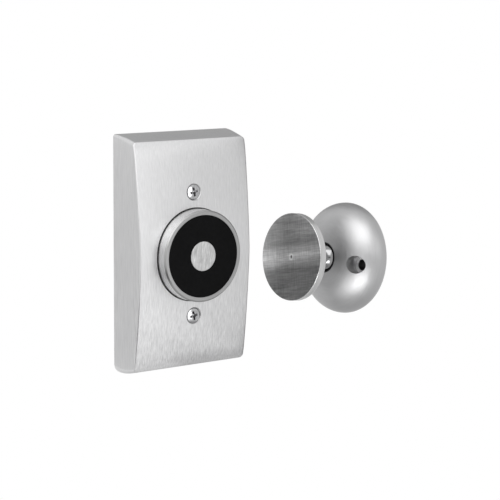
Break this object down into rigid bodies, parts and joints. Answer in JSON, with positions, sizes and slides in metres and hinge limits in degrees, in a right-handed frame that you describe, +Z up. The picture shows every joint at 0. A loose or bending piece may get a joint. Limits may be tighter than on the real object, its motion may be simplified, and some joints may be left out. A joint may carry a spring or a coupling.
{
  "type": "electromagnetic door holder",
  "caption": "Electromagnetic door holder: a crowned wall cover round a pot magnet, with a domed door rose that carries a swivelling steel armature disc.",
  "frame": {"origin": "middle of the wall unit's back, on the wall plane", "axes": "+Z up, -Y out of the wall towards the viewer, X to the right as one looks at the wall unit's front. The armature unit stands apart at +X, turned and tipped as the pair is shown."},
  "size_m": [0.1238, 0.0599, 0.116],
  "materials": {
    "cover_metal": "die-cast, satin chrome, brushed up and down",
    "rose_metal": "die-cast, satin chrome, brushed round",
    "disc_steel": "ground steel, plated, fine cross scratches",
    "pole_steel": "turned and plated steel",
    "strap_steel": "zinc-plated sheet",
    "plated_steel": "zinc-plated",
    "spring_steel": "blackened spring steel",
    "screw_chrome": "polished plating",
    "ball_chrome": "polished plating",
    "black_resin": "cast resin, matt",
    "white_nylon": "moulded",
    "copper_winding": "enamelled copper wire",
    "black_rubber": "moulded",
    "red_fibre": "vulcanised fibre",
    "board_laminate": "green lacquer on laminate",
    "black_component": "moulded",
    "blue_component": "dipped lacquer",
    "green_screw": "green plated steel"
  },
  "bodies": {
    "root": {"cover": "cover_metal", "cover_screw_upper": "screw_chrome", "cover_screw_lower": "screw_chrome", "mounting_bracket": "strap_steel", "magnet_cup": "pole_steel", "magnet_core": "pole_steel", "face_potting": "black_resin", "coil_bobbin": "white_nylon", "coil_winding": "copper_winding", "magnet_screw": "plated_steel", "lock_washer": "plated_steel", "lead_grommet": "black_rubber", "insulating_disc": "red_fibre", "circuit_board": "board_laminate", "bridge_rectifier": "black_component", "varistor": "blue_component", "earth_screw": "green_screw", "door_rose": "rose_metal", "disc_spring": "spring_steel", "backing_washer": "plated_steel", "snap_ring": "spring_steel"},
    "swivel_seat": {"ball_seat": "white_nylon"},
    "armature": {"ball_stud": "ball_chrome", "armature_disc": "disc_steel"}
  },
  "joints": [
    {"name": "swivel_turn", "type": "hinge", "parent": "root", "child": "swivel_seat", "pos_m": [0.07281, -0.03274, -0.00625], "axis": [-0.9927, -0.0572, 0.1063], "continuous": true},
    {"name": "swivel_tilt", "type": "hinge", "parent": "swivel_seat", "child": "armature", "pos_m": [0.07281, -0.03274, -0.00625], "axis": [0.0576, -0.9983, 0], "range_deg": [-12, 12]}
  ]
}
